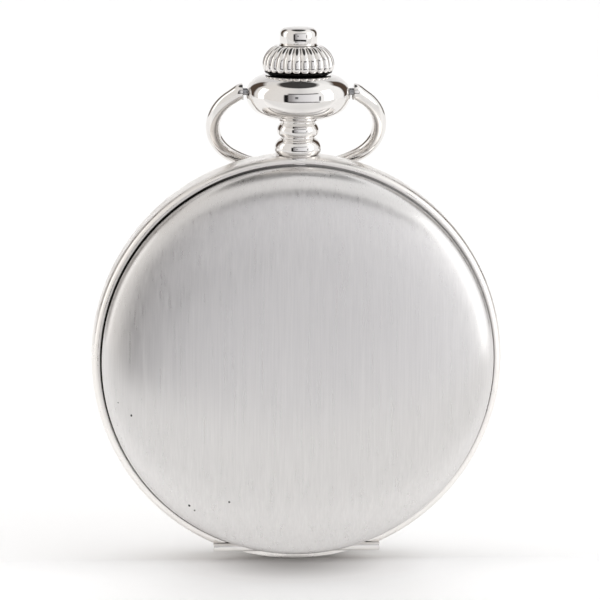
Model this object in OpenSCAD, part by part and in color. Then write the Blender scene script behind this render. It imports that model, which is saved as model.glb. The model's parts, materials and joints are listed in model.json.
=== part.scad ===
// Hunter pocket watch: hinged front cover, pendant-set crown with a release button, swinging bow,
// and a hand-wound movement with a small seconds dial.
// Millimetres. X is to the right, Z is up toward the crown, and the front cover faces -Y.
// The flat of the back cover lies on y = 0, and the middle of the case is at x = 0, z = 0.

/* [Case] */
// Outer radius of the case band
band_radius = 23.5; // [22:0.1:25]
// Half of the width of the case band, front to back
band_half_width = 2.5; // [2:0.1:3.5]
// Half of the total thickness of the closed watch
half_thickness = 7.0; // [6:0.1:8]
// Outer radius of the back cover
cover_radius = 23.3; // [22:0.1:24.5]
// Outer radius of the front cover, which leaves a rim of the band in view
lid_radius = 22.4; // [22:0.1:22.8]
// Wall thickness of the covers
cover_wall = 0.6; // [0.4:0.05:1]
// Radius of the flat middle of the back cover
back_flat_radius = 16.0; // [8:0.5:18]
// Gap between the front cover and the band
cover_gap = 0.06; // [0.02:0.01:0.2]

/* [Hinge] */
// Height of the hinge axis, below the middle of the case
hinge_drop = 21.7; // [21:0.1:22.5]
// Distance of the hinge axis in front of the middle plane
hinge_forward = 2.4; // [2:0.1:3]
// Outer radius of the hinge knuckles
knuckle_radius = 0.55; // [0.4:0.05:0.8]
// Half length of the whole hinge barrel
hinge_half_length = 9.6; // [8:0.1:11]
// Half length of the middle knuckle, which belongs to the front cover
middle_knuckle_half = 3.5; // [2:0.1:5]
// Radius of the hinge pin
hinge_pin_radius = 0.28; // [0.2:0.01:0.4]

/* [Pendant, crown and bow] */
// Height of the widest line of the pendant bulb, where the bow pivots
bow_pivot_height = 30.6; // [30:0.1:33]
// Radius of the bow's wire
bow_wire_radius = 0.8; // [0.5:0.05:1.2]
// How far the hanging bow leans back from straight down, in degrees
bow_lean = 32; // [20:1:50]
// Number of flutes round the crown
crown_flutes = 24; // [16:1:36]
// Radius of each flute
flute_radius = 0.4; // [0.2:0.05:0.6]
// Radius of the release button
button_radius = 2.13; // [1.5:0.05:2.6]
// Travel of the release button
button_travel = 0.7; // [0.3:0.05:1]
// Outer radius of the winding stem
stem_radius = 0.9; // [0.6:0.05:1]

/* [Dial and glass] */
// Radius of the dial
dial_radius = 18.9; // [17:0.1:19]
// Height of the dial's back above the middle plane
dial_base = 2.9; // [2.5:0.05:3.2]
// Thickness of the dial
dial_thickness = 0.4; // [0.2:0.05:0.6]
// Height of the middle of the glass above the middle plane
glass_top = 5.75; // [5:0.05:6]
// Distance of the seconds dial below the middle
seconds_drop = 9.0; // [8:0.1:10]

/* [Movement] */
// Radius of the main plate
plate_radius = 18.55; // [17:0.05:19]
// Height of the back face of the main plate
plate_back = 0.6; // [0.3:0.05:1]
// Height of the front face of the main plate
plate_front = 2.2; // [1.8:0.05:2.5]
// Height of the inner face of the bridges
bridge_inner = -1.45; // [-2:0.05:-1]
// Height of the outer face of the bridges
bridge_outer = -2.6; // [-3.2:0.05:-2]
// Radius of the outline of the bridges
bridge_radius = 17.7; // [16:0.1:17.9]
// Direction of the mainspring barrel from the middle, in degrees
barrel_angle = 30; // [20:1:40]
// Radius of the balance rim
balance_radius = 4.4; // [3.5:0.1:4.5]

/* [Hidden] */
$fn = 96;
// Gear train: tooth counts and modules
barrel_teeth = 80;
barrel_module = 0.2;
center_leaves = 10;
center_teeth = 80;
going_module = 0.125;
third_leaves = 10;
third_teeth = 75;
fourth_leaves = 10;
fourth_teeth = 80;
fourth_module = 0.11;
escape_leaves = 8;
escape_teeth = 15;
escape_radius = 2.6;
// Places of the arbors
barrel_reach = barrel_module * (barrel_teeth + center_leaves) / 2;
barrel_at = [barrel_reach * cos(barrel_angle), barrel_reach * sin(barrel_angle)];
center_at = [0, 0];
third_at = [-3.106, -4.690];
fourth_at = [0, -seconds_drop];
escape_at = [4.573, -10.584];
pallet_at = [7.130, -9.010];
balance_at = [9.600, -7.500];
lever_angle = 31.4;
minute_at = [-1.697, 1.697];
crown_wheel_at = [0.87, 9.27];
click_at = [1.30, 1.60];
crown_wheel_teeth = 34;
ratchet_teeth = 50;
keyless_module = 0.2;
bridge_posts = [[-13.5, 9.0], [-5.5, 15.8], [4.5, 16.2], [16.6, -1.1]];
train_posts = [[-13.0, -10.2], [-15.4, -4.6], [0.8, -16.5]];
cock_post = [15.2, -7.8];
pallet_posts = [[5.56, -6.45], [8.70, -11.57]];

// Turns a part built flat, front upward, so that it stands with its front toward -Y.
module upright() {
  translate([0, -half_thickness, 0]) rotate([90, 0, 0]) children();
}

// Places a part that is turned about the pendant's own vertical axis.
module on_pendant() {
  translate([0, -half_thickness, 0]) children();
}

// A disc or ring between two heights.
module disc(r, low, high) {
  translate([0, 0, low]) cylinder(r = r, h = high - low);
}

module ring(outer, inner, low, high) {
  difference() {
    disc(outer, low, high);
    disc(inner, low - 1, high + 1);
  }
}

// A toothed disc: plain-sided teeth, narrower at the tip.
module toothed(teeth, tip_r, root_r, tip_share, root_share, phase, low, high) {
  step = 360 / teeth;
  edges = [[-root_share, root_r], [-tip_share, tip_r], [tip_share, tip_r], [root_share, root_r]];
  translate([0, 0, low]) rotate(phase) linear_extrude(height = high - low)
    polygon([for (i = [0:teeth - 1]) for (e = edges)
      [e[1] * cos(step * (i + e[0] / 2)), e[1] * sin(step * (i + e[0] / 2))]]);
}

module wheel_teeth(teeth, size, phase, low, high) {
  toothed(teeth, size * (teeth / 2 + 0.9), size * (teeth / 2 - 1.2), 0.22, 0.50, phase, low, high);
}

module leaf_teeth(teeth, size, phase, low, high) {
  toothed(teeth, size * (teeth / 2 + 0.75), size * (teeth / 2 - 1.3), 0.16, 0.42, phase, low, high);
}

// A wheel with a rim, spokes and a hub.
module spoked(teeth, size, phase, low, high, spokes, hub) {
  rim_r = size * (teeth / 2 - 1.2) - 0.45;
  difference() {
    wheel_teeth(teeth, size, phase, low, high);
    difference() {
      disc(rim_r, low - 1, high + 1);
      disc(hub, low - 2, high + 2);
      for (i = [0:spokes - 1]) rotate(i * 360 / spokes + 24)
        translate([0, -0.2, low - 2]) cube([rim_r + 1, 0.4, high - low + 4]);
    }
  }
}

// Phase of a driven wheel so that its gap faces a tooth of the driver.
function mesh_phase(line, phase, n1, n2) = line + 180 + 180 / n2 + (line - phase) * n1 / n2;

function heading(a, b) = atan2(b[1] - a[1], b[0] - a[0]);

third_leaf_phase = mesh_phase(heading(center_at, third_at), 0, center_teeth, third_leaves);
fourth_leaf_phase = mesh_phase(heading(third_at, fourth_at), 0, third_teeth, fourth_leaves);
escape_leaf_phase = mesh_phase(heading(fourth_at, escape_at), 0, fourth_teeth, escape_leaves);
center_leaf_phase = mesh_phase(heading(barrel_at, center_at), 0, barrel_teeth, center_leaves);
minute_phase = mesh_phase(heading(center_at, minute_at), 0, 12, 36);
hour_phase = mesh_phase(heading(minute_at, center_at), 0, 10, 40);
ratchet_phase = mesh_phase(heading(crown_wheel_at, barrel_at), 0, crown_wheel_teeth, ratchet_teeth);

// Points of an arc, for turned profiles.
function arc(cx, cy, r, from, to, steps) =
  [for (i = [0:steps]) [cx + r * cos(from + (to - from) * i / steps),
    cy + r * sin(from + (to - from) * i / steps)]];

// A dome's section line from one radius to another: height falls with the square of the radius.
// Pebble-shaped outline: full height h over the base at the middle, upright at radius r
function pebble(r, h, base, from, to, steps) =
  [for (i = [0:steps]) let (a = from + (to - from) * i / steps)
    [r * pow(sin(a), 2 / 3), base + h * pow(cos(a), 2 / 3)]];

function dome(top, fall, reach, from, to, steps) =
  [for (i = [0:steps]) let (r = from + (to - from) * i / steps) [r, top - fall * pow(r / reach, 2)]];

// A flat spiral strip.
module spiral(inner_r, outer_r, turns, wide, low, high, per_turn) {
  count = turns * per_turn;
  outer = [for (i = [0:count]) let (a = 360 * i / per_turn, r = inner_r + (outer_r - inner_r) * i / count)
    [r * cos(a), r * sin(a)]];
  inner = [for (i = [count:-1:0]) let (a = 360 * i / per_turn, r = inner_r + (outer_r - inner_r) * i / count)
    [(r - wide) * cos(a), (r - wide) * sin(a)]];
  translate([0, 0, low]) linear_extrude(height = high - low) polygon(concat(outer, inner));
}

// A pillar with a screw hole is left plain; the screw's head sits on the bridge above it.
module pillars(places, r, low, high) {
  for (p = places) translate([p[0], p[1], 0]) disc(r, low, high);
}

module screw_head(r, low, high) {
  difference() {
    disc(r, low, high);
    translate([-r - 1, -0.09, low - 1]) cube([2 * r + 2, 0.18, 1 + (high - low) * 0.45]);
  }
}

// --- case -----------------------------------------------------------------------------------

module hinge_line(r, from, to) {
  translate([from, -hinge_drop, hinge_forward]) rotate([0, 90, 0]) cylinder(r = r, h = to - from, $fn = 40);
}

module case_band() {
  color("silver") upright() difference() {
    union() {
      difference() {
        rotate_extrude() polygon([[19.7, -2.5], [23.2, -2.5], [23.42, -2.3], [23.5, -1.7],
          [23.5, 1.5], [23.42, 2.0], [23.2, 2.33], [22.8, 2.5], [19.7, 2.5]]);
        // channel that holds the catch and lift springs
        rotate([0, 0, -50]) rotate_extrude(angle = 280)
          translate([20.2, -1.9]) square([1.7, 5]);
        // narrow groove under the lid's edge, which shows as a dark seam
        rotate_extrude() translate([21.8, 2.0]) square([0.82, 1]);
        // room for the lid's edge as it swings, and for its middle knuckle
        translate([-8.8, -25, 0.6]) cube([17.6, 25 - hinge_drop, 4]);
        hinge_line(0.68, -middle_knuckle_half - 0.06, middle_knuckle_half + 0.06);
      }
      rotate_extrude() translate([19.2, -2.5]) square([0.5, 0.6]);
      for (s = [0, 1]) mirror([s, 0, 0])
        hinge_line(knuckle_radius, middle_knuckle_half + 0.06, hinge_half_length);
    }
    hinge_line(hinge_pin_radius, -12, 12);
    // stem hole, and seat for the foot of the pendant
    translate([0, 18, 0]) rotate([-90, 0, 0]) cylinder(r = 1.1, h = 4.4);
    translate([0, 21.5, 0]) rotate([-90, 0, 0]) cylinder(r = 1.5, h = 0.9);
    translate([0, 22.1, 0]) rotate([-90, 0, 0]) cylinder(r = 2.2, h = 3);
    translate([0, 23.0, 0]) rotate([-90, 0, 0]) cylinder(r = 2.45, h = 3);
  }
}

module hinge_pin() {
  color("dimgray") upright()
    hinge_line(hinge_pin_radius, -hinge_half_length + 0.1, hinge_half_length - 0.1);
}

module pendant() {
  color("silver") on_pendant() difference() {
    rotate_extrude() polygon([[1.5, 22.3], [2.2, 22.3], [2.2, 23.0], [2.42, 23.0], [2.42, 23.2],
      [2.25, 23.35], [2.52, 23.7], [2.67, 24.2], [2.55, 24.75], [2.15, 25.25], [1.92, 25.45],
      [2.15, 25.65], [2.4, 26.25], [2.28, 26.8], [1.95, 27.15], [2.2, 27.3], [3.46, 27.66],
      [4.6, 28.15], [5.2, 28.6], [5.7, 29.3], [5.92, 30.15], [5.9, 30.75], [5.62, 31.42], [5.1, 31.98],
      [4.3, 32.45], [3.6, 32.55], [3.3, 32.3], [3.3, 31.9], [1.5, 31.9]]);
    translate([-8, 0, bow_pivot_height]) rotate([0, 90, 0]) cylinder(r = 0.4, h = 3.4, $fn = 32);
    translate([4.6, 0, bow_pivot_height]) rotate([0, 90, 0]) cylinder(r = 0.4, h = 3.4, $fn = 32);
  }
}

module pendant_sleeve() {
  color("darkgray") on_pendant() rotate_extrude() translate([1.25, 24.0]) square([0.25, 7.8]);
}

module bow_pins() {
  color("gray") on_pendant() for (s = [0, 1]) mirror([s, 0, 0])
    translate([4.6, 0, bow_pivot_height]) rotate([0, 90, 0]) cylinder(r = 0.4, h = 2.5, $fn = 32);
}

module front_bezel() {
  color("silver") upright() difference() {
    rotate_extrude() polygon([[19.7, 2.5], [21.1, 2.5], [21.1, 3.6], [20.3, 4.6], [19.7, 4.85],
      [19.2, 4.85], [19.2, 4.2], [18.4, 4.2], [18.4, 3.7], [18.9, 3.35], [19.7, 3.35]]);
    translate([-1.4, 20.2, 2.0]) cube([3.2, 2, 1.6]);
  }
}

module crystal() {
  color("lightcyan", 0.35) upright() rotate_extrude() polygon(concat(
    [[19.2, 4.2], [19.2, 4.75]], dome(glass_top, 1.0, 19.2, 18.4, 0, 8),
    dome(glass_top - 0.5, 1.0, 19.2, 0, 17.9, 8), [[18.3, 4.2]]));
}

module back_cover() {
  color("silver") upright() mirror([0, 0, 1]) rotate_extrude() polygon([[20.95, 2.5],
    [cover_radius - 0.15, 2.5], [cover_radius, 2.65], [cover_radius, 3.1], [23.2, 3.55], [22.95, 3.95],
    [22.5, 4.3], [20.0, 5.45], [18.2, 6.22], [17.0, 6.7], [back_flat_radius, half_thickness],
    [0, half_thickness], [0, half_thickness - cover_wall], [15.9, half_thickness - cover_wall],
    [16.9, 6.1], [18.1, 5.6], [19.8, 4.88], [22.1, 3.85], [22.5, 3.5], [22.6, 3.1], [20.95, 3.1]]);
}

module dust_cover() {
  color("lightgray") upright() mirror([0, 0, 1]) rotate_extrude()
    polygon([[20.3, 2.5], [20.9, 2.5], [20.9, 3.9], [20.6, 4.2], [0, 4.4], [0, 4.1], [20.3, 3.85]]);
}

module movement_ring() {
  color("goldenrod") upright() difference() {
    rotate_extrude() polygon([[18.0, -1.9], [19.6, -1.9], [19.6, 2.9], [18.6, 2.9], [18.6, plate_back],
      [18.0, plate_back]]);
    translate([0, 15, 0]) rotate([-90, 0, 0]) cylinder(r = 1.1, h = 6);
  }
}

module case_screws() {
  color("steelblue") upright() for (a = [205, 335, 90]) rotate(a + 20) translate([18.45, 0, 0])
    screw_head(0.7, -2.35, -1.9);
}

module catch_spring() {
  color("steelblue") upright() difference() {
    union() {
      rotate([0, 0, 85]) rotate_extrude(angle = 58) translate([21.05, -1.7]) square([0.3, 3.6]);
      translate([-0.9, 21.0, 1.6]) cube([1.8, 0.3, 1.7]);
      translate([-0.9, 21.0, 2.95]) cube([1.8, 0.7, 0.35]);
      rotate([0, 0, 143]) translate([21.2, 0, -1.7]) cylinder(r = 0.55, h = 3.4, $fn = 32);
    }
    translate([-1.6, 20, -1.05]) cube([3.2, 3, 2.1]);
    rotate([0, 0, 143]) translate([21.2, 0, -3]) cylinder(r = 0.33, h = 8, $fn = 32);
  }
}

module catch_post() {
  color("gray") upright() rotate([0, 0, 143]) translate([21.2, 0, -1.9]) {
    cylinder(r = 0.3, h = 4.0, $fn = 32);
    translate([0, 0, 3.9]) cylinder(r = 0.6, h = 0.3, $fn = 32);
  }
}

module lift_spring() {
  color("steelblue") upright() {
    rotate([0, 0, 192]) rotate_extrude(angle = 34) translate([21.0, -1.9]) square([0.3, 3.6]);
    rotate([0, 0, 192]) translate([21.15, 0, -1.9]) cylinder(r = 0.6, h = 3.9, $fn = 32);
  }
}

// --- front cover and bow --------------------------------------------------------------------

module front_cover() {
  color("gainsboro") upright() difference() {
    union() {
      rotate_extrude() polygon(concat(
        [[lid_radius - cover_wall, 2.62], [lid_radius - cover_wall + 0.08, 2.56],
          [lid_radius - 0.12, 2.56], [lid_radius, 2.68]],
        pebble(lid_radius, half_thickness - 3, 3, 90, 0, 18),
        pebble(lid_radius - cover_wall, half_thickness - cover_wall - 3, 3, 0, 90, 16)));
      // lip that the catch holds
      intersection() {
        rotate_extrude() translate([21.4, 2.56]) square([0.5, 0.3]);
        translate([-2.2, 15, 2]) cube([4.4, 10, 2]);
      }
      // middle knuckle and its web
      hinge_line(knuckle_radius, -middle_knuckle_half, middle_knuckle_half);
      translate([-3.4, -22.1, 2.56]) cube([6.8, 0.6, 0.5]);
    }
    hinge_line(hinge_pin_radius + 0.03, -12, 12);
    for (s = [0, 1]) mirror([s, 0, 0])
      hinge_line(0.68, middle_knuckle_half + 0.0, hinge_half_length + 0.3);
  }
}

module bow() {
  color("silver") on_pendant() translate([0, 0, bow_pivot_height]) rotate([bow_lean - 90, 0, 0]) difference() {
    union() {
      translate([0, -1.73, 0]) rotate([0, 0, 56.73]) rotate_extrude(angle = 66.54)
        translate([13.13, 0]) circle(r = bow_wire_radius, $fn = 12);
      for (s = [0, 1]) mirror([s, 0, 0]) {
        translate([4.35, 4.9, 0]) rotate([0, 0, -57.8]) rotate_extrude(angle = 114.53)
          translate([5.2, 0]) circle(r = bow_wire_radius, $fn = 12);
        translate([6.3, 0, 0]) rotate([0, 90, 0]) cylinder(r = 0.95, h = 1.1, $fn = 48);
      }
    }
    translate([-7.15, 0, 0]) rotate([0, 90, 0]) cylinder(r = 0.43, h = 14.3, $fn = 32);
  }
}

// --- crown, stem and button -----------------------------------------------------------------

module crown_bush() {
  color("darkgray") on_pendant() rotate_extrude() translate([0.93, 24.6]) square([0.29, 7.1]);
}

module crown() {
  color("silver") on_pendant() difference() {
    rotate_extrude() polygon([[stem_radius, 32.0], [2.2, 32.0], [2.9, 32.25], [3.2, 32.6], [3.65, 32.78],
      [3.95, 33.1], [4.1, 33.6], [4.06, 34.15], [3.8, 34.8], [3.35, 35.4], [2.85, 35.76], [2.55, 35.85],
      [button_radius + 0.06, 35.85], [button_radius + 0.06, 34.8], [stem_radius, 34.8]]);
    for (i = [0:crown_flutes - 1]) rotate((i + 0.5) * 360 / crown_flutes)
      translate([4.24, 0, 31]) cylinder(r = flute_radius, h = 6, $fn = 24);
  }
}

module stem() {
  color("gray") on_pendant() difference() {
    union() {
      translate([0, 0, 14.9]) cylinder(r = stem_radius, h = 19.9);
      translate([0, 0, 11.15]) cylinder(r = 0.63, h = 4);
      translate([-0.44, -0.44, 8.9]) cube([0.88, 0.88, 3]);
    }
    translate([0, 0, 20.5]) cylinder(r = 0.45, h = 20, $fn = 32);
    translate([-2, -0.2, 20.55]) cube([4, 0.4, 1.32]);
    difference() {
      translate([0, 0, 16.0]) cylinder(r = 2, h = 0.8);
      translate([0, 0, 15]) cylinder(r = 0.45, h = 3);
    }
  }
}

module push_button() {
  color("silver") on_pendant() {
    rotate_extrude() polygon([[0, 21.3], [0.41, 21.3], [0.41, 35.6], [button_radius, 35.6],
      [button_radius, 37.3], [2.05, 37.6], [1.85, 37.82], [1.45, 37.95], [0, 38.0]]);
    translate([-1.1, 0, 21.6]) rotate([0, 90, 0]) cylinder(r = 0.16, h = 2.2, $fn = 24);
  }
}

module release_collar() {
  color("darkgray") on_pendant() difference() {
    rotate_extrude() translate([0.94, 21.4]) square([0.41, 0.4]);
    translate([-1.1, 0, 21.6]) rotate([0, 90, 0]) cylinder(r = 0.16, h = 2.2, $fn = 24);
  }
}

module winding_pinion() {
  color("gray") on_pendant() difference() {
    toothed(16, 1.78, 1.45, 0.2, 0.5, 0, 11.4, 12.6);
    translate([0, 0, 10]) cylinder(r = 0.66, h = 4);
  }
}

module sliding_pinion() {
  color("gray") on_pendant() difference() {
    toothed(12, 1.0, 0.82, 0.2, 0.5, 0, 10.1, 11.0);
    translate([-0.47, -0.47, 9]) cube([0.94, 0.94, 3]);
  }
}

module setting_lever() {
  color("steelblue") upright() {
    difference() {
      union() {
        translate([3.3, 16.4, 2.3]) cylinder(r = 0.7, h = 0.3, $fn = 40);
        translate([0.8, 16.1, 2.3]) cube([2.5, 0.6, 0.3]);
        translate([3.1, 13.4, 2.3]) cube([0.5, 3, 0.3]);
      }
      translate([3.3, 16.4, 1]) cylinder(r = 0.33, h = 3, $fn = 32);
    }
    translate([0.8, 16.4, -0.4]) cylinder(r = 0.28, h = 2.9, $fn = 32);
  }
}

// --- dial and hands -------------------------------------------------------------------------

module dial() {
  color("ivory") upright() difference() {
    disc(dial_radius, dial_base, dial_base + dial_thickness);
    disc(0.9, 0, 9);
    translate([0, -seconds_drop, 0]) disc(0.3, 0, 9);
    translate([0, -seconds_drop, 0]) ring(4.1, 3.9, dial_base + 0.3, dial_base + 1);
  }
}

module hour_markers() {
  color("black") upright() for (i = [0:11]) if (i != 6) rotate(90 - i * 30)
    translate([15.2, -0.35, dial_base + dial_thickness]) cube([2.2, 0.7, 0.08]);
}

module minute_track() {
  color("black") upright() ring(18.1, 17.95, dial_base + dial_thickness, dial_base + dial_thickness + 0.05);
}

module hand(reach, tail, wide, low, high, hub, bore) {
  difference() {
    union() {
      disc(hub, low, high);
      translate([0, 0, low]) linear_extrude(height = high - low)
        polygon([[-wide * 0.35, -tail], [wide * 0.35, -tail], [wide * 0.5, 0], [wide * 0.9, reach * 0.55],
          [wide * 0.25, reach * 0.75], [0.05, reach], [-0.05, reach], [-wide * 0.25, reach * 0.75],
          [-wide * 0.9, reach * 0.55], [-wide * 0.5, 0]]);
    }
    disc(bore, low - 1, high + 1);
  }
}

module hour_hand() {
  color("midnightblue") upright() rotate(60) hand(9.5, 1.6, 1.1, 3.56, 3.72, 1.2, 0.8);
}

module minute_hand() {
  color("midnightblue") upright() rotate(-60) hand(15.2, 2.4, 0.9, 3.95, 4.1, 0.95, 0.5);
}

module seconds_hand() {
  color("midnightblue") upright() translate([0, -seconds_drop, 0]) rotate(-30) {
    ring(0.45, 0.14, 3.36, 3.5);
    translate([-0.08, 0.3, 3.38]) cube([0.16, 3.4, 0.1]);
    translate([-0.08, -1.3, 3.38]) cube([0.16, 1.0, 0.1]);
  }
}

// --- motion work ----------------------------------------------------------------------------

module cannon_pinion() {
  color("gray") upright() difference() {
    union() {
      leaf_teeth(12, 0.1, 0, 2.26, 2.5);
      disc(0.5, 2.4, 4.1);
    }
    disc(0.35, 0, 9);
  }
}

module minute_wheel() {
  color("khaki") upright() translate([minute_at[0], minute_at[1], 0]) difference() {
    union() {
      wheel_teeth(36, 0.1, minute_phase, 2.28, 2.46);
      leaf_teeth(10, 0.096, 0, 2.4, 2.8);
    }
    disc(0.23, 0, 9);
  }
}

module hour_wheel() {
  color("khaki") upright() difference() {
    union() {
      wheel_teeth(40, 0.096, hour_phase, 2.58, 2.76);
      disc(0.8, 2.6, 3.72);
    }
    disc(0.54, 0, 9);
  }
}

// --- plate, bridges and jewels --------------------------------------------------------------

jewel_back = bridge_inner - 0.4;
plate_jewels = [third_at, escape_at, pallet_at, balance_at];
bridge_jewels = [third_at, fourth_at, escape_at];

module jewel(at, low, high) {
  translate([at[0], at[1], 0]) ring(0.55, 0.17, low, high);
}

module main_plate() {
  color("goldenrod") upright() difference() {
    union() {
      disc(plate_radius, plate_back, plate_front);
      translate([minute_at[0], minute_at[1], 0]) disc(0.2, 2.0, 2.8);
      translate([3.3, 16.4, 0]) disc(0.3, 2.0, 2.75);
    }
    disc(0.4, 0, 9);
    for (p = plate_jewels) translate([p[0], p[1], 0]) disc(0.55, 0, plate_back + 0.4);
    translate([fourth_at[0], fourth_at[1], 0]) disc(0.2, 0, 9);
    translate([barrel_at[0], barrel_at[1], 0]) disc(0.54, 0, 1.6);
    translate([-1.0, 8.5, 0]) cube([2.0, 12, 1.0]);
    translate([-1.9, 9.0, 0]) cube([3.8, 3.8, 1.9]);
    translate([0.35, 15.9, 0]) cube([1.2, 1.9, 4]);
  }
}

module barrel_bridge() {
  color("palegoldenrod") upright() difference() {
    union() {
      intersection() {
        disc(bridge_radius, bridge_outer, bridge_inner);
        translate([-30, -2.2, -9]) cube([60, 30, 18]);
      }
      pillars(bridge_posts, 0.9, bridge_inner - 0.1, plate_back);
    }
    disc(0.4, bridge_inner - 0.8, 0);
    translate([barrel_at[0], barrel_at[1], 0]) disc(0.74, -9, 0);
    // seat of the crown wheel, with a core left standing in it
    translate([crown_wheel_at[0], crown_wheel_at[1], 0]) ring(3.55, 1.0, -9, -1.75);
    translate([-2.1, 11.2, -9]) cube([4.2, 1.6, 9]);
  }
}

module train_bridge() {
  color("palegoldenrod") upright() difference() {
    union() {
      intersection() {
        disc(bridge_radius, bridge_outer, bridge_inner);
        translate([-30, -32.6, -9]) cube([38.5, 30, 18]);
      }
      pillars(train_posts, 0.9, bridge_inner - 0.1, plate_back);
    }
    for (p = bridge_jewels) translate([p[0], p[1], 0]) disc(0.55, -9, 0);
    translate([balance_at[0], balance_at[1], 0]) disc(5.0, -9, 0);
  }
}

module balance_cock() {
  color("palegoldenrod") upright() difference() {
    union() {
      translate([balance_at[0], balance_at[1], 0]) disc(1.7, -2.9, -2.05);
      translate([balance_at[0], balance_at[1] - 1.3, -2.9]) rotate([0, 0, -3]) cube([5.4, 2.2, 0.85]);
      translate([cock_post[0], cock_post[1], 0]) disc(1.3, -2.9, -2.05);
      translate([cock_post[0], cock_post[1], 0]) disc(0.9, -2.5, plate_back);
      // stud that holds the outer end of the balance spring
      translate([balance_at[0] + 2.75, balance_at[1] - 0.3, -2.9]) cube([0.4, 0.6, 1.35]);
    }
    translate([balance_at[0], balance_at[1], 0]) disc(0.55, -9, 0);
  }
}

module pallet_bridge() {
  color("palegoldenrod") upright() difference() {
    union() {
      pillars(pallet_posts, 0.5, -0.6, plate_back);
      translate([pallet_at[0], pallet_at[1], -0.8]) rotate([0, 0, lever_angle - 90])
        translate([-3.0, -0.55, 0]) cube([6.0, 1.1, 0.3]);
      pillars(pallet_posts, 0.7, -0.8, -0.5);
    }
    translate([pallet_at[0], pallet_at[1], 0]) disc(0.17, -9, 0);
  }
}

module bridge_screws() {
  color("steelblue") upright() {
    for (p = concat(bridge_posts, train_posts)) translate([p[0], p[1], 0]) screw_head(0.8, -2.95, bridge_outer);
    translate([cock_post[0], cock_post[1], 0]) screw_head(0.8, -3.25, -2.9);
    for (p = pallet_posts) translate([p[0], p[1], 0]) screw_head(0.45, -1.0, -0.8);
  }
}

module jewels() {
  color("crimson") upright() {
    for (p = plate_jewels) jewel(p, plate_back, plate_back + 0.4);
    for (p = bridge_jewels) jewel(p, jewel_back, bridge_inner);
    jewel(balance_at, -2.45, -2.05);
  }
}

// --- barrel and winding work ----------------------------------------------------------------

module barrel_drum() {
  color("khaki") upright() translate([barrel_at[0], barrel_at[1], 0]) difference() {
    union() {
      wheel_teeth(barrel_teeth, barrel_module, 0, 0.05, 0.45);
      disc(7.6, -0.95, 0.2);
    }
    disc(7.2, -2, 0.05);
    disc(1.04, -2, 2);
  }
}

module barrel_cover() {
  color("khaki") upright() translate([barrel_at[0], barrel_at[1], 0]) ring(7.6, 1.04, -1.08, -0.95);
}

module mainspring() {
  color("lightsteelblue") upright() translate([barrel_at[0], barrel_at[1], 0])
    spiral(1.35, 7.2, 8, 0.16, -0.88, 0.0, 20);
}

module barrel_arbor() {
  color("gray") upright() translate([barrel_at[0], barrel_at[1], 0]) {
    disc(0.5, 0.5, 1.5);
    disc(1.0, -1.2, 0.52);
    disc(0.7, bridge_outer - 0.02, -1.1);
    translate([-0.48, -0.48, -3.02]) cube([0.96, 0.96, 0.5]);
  }
}

module ratchet_wheel() {
  color("silver") upright() translate([barrel_at[0], barrel_at[1], 0]) difference() {
    wheel_teeth(ratchet_teeth, keyless_module, ratchet_phase, -3.0, -2.65);
    translate([-0.48, -0.48, -5]) cube([0.96, 0.96, 5]);
  }
}

module ratchet_screw() {
  color("steelblue") upright() translate([barrel_at[0], barrel_at[1], 0]) screw_head(1.3, -3.35, -3.02);
}

module crown_wheel() {
  color("silver") upright() translate([crown_wheel_at[0], crown_wheel_at[1], 0]) difference() {
    union() {
      wheel_teeth(crown_wheel_teeth, keyless_module, 0, -3.0, -2.65);
      disc(3.1, -2.7, -2.0);
      toothed(crown_wheel_teeth, 3.4, 2.9, 0.4, 0.5, 0, -2.0, -1.8);
      disc(3.0, -2.0, -1.8);
    }
    disc(1.04, -9, 0);
  }
}

module crown_wheel_screw() {
  color("steelblue") upright() translate([crown_wheel_at[0], crown_wheel_at[1], 0]) {
    screw_head(1.7, -3.4, -3.06);
    disc(0.98, -3.08, bridge_outer);
  }
}

module click() {
  color("silver") upright() translate([0, 0, -3.0]) difference() {
    union() {
      translate([click_at[0], click_at[1], 0]) cylinder(r = 0.8, h = 0.35, $fn = 40);
      linear_extrude(height = 0.35) polygon([[1.0, 2.3], [2.2, 3.5], [2.62, 3.3], [2.05, 1.5]]);
    }
    translate([click_at[0], click_at[1], -1]) cylinder(r = 0.33, h = 3, $fn = 32);
  }
}

module click_post() {
  color("steelblue") upright() translate([click_at[0], click_at[1], 0]) {
    disc(0.3, -3.04, bridge_outer);
    disc(0.62, -3.25, -3.03);
  }
}

module click_spring() {
  color("steelblue") upright() {
    translate([-3.4, 1.6, -2.95]) cylinder(r = 0.6, h = 0.35, $fn = 40);
    translate([-3.3, 1.4, -2.95]) cube([3.3, 0.12, 0.3]);
    translate([-0.12, 1.4, -2.95]) cube([0.12, 1.9, 0.3]);
  }
}

// --- going train ----------------------------------------------------------------------------

module center_wheel() {
  color("khaki") upright() {
    spoked(center_teeth, going_module, 0, -1.38, -1.2, 5, 0.9);
    leaf_teeth(center_leaves, barrel_module, center_leaf_phase, 0.02, 0.5);
    disc(0.35, -2.2, 3.9);
  }
}

module train_arbor(at, leaves, size, phase, low, high, r) {
  translate([at[0], at[1], 0]) {
    leaf_teeth(leaves, size, phase, low, high);
    disc(r, bridge_inner + 0.05, plate_back - 0.05);
    disc(0.14, jewel_back + 0.05, plate_back + 0.35);
  }
}

module third_wheel() {
  color("khaki") upright() {
    translate([third_at[0], third_at[1], 0]) spoked(third_teeth, going_module, 0, -0.5, -0.3, 5, 0.7);
    train_arbor(third_at, third_leaves, going_module, third_leaf_phase, -1.42, -1.12, 0.3);
  }
}

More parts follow.
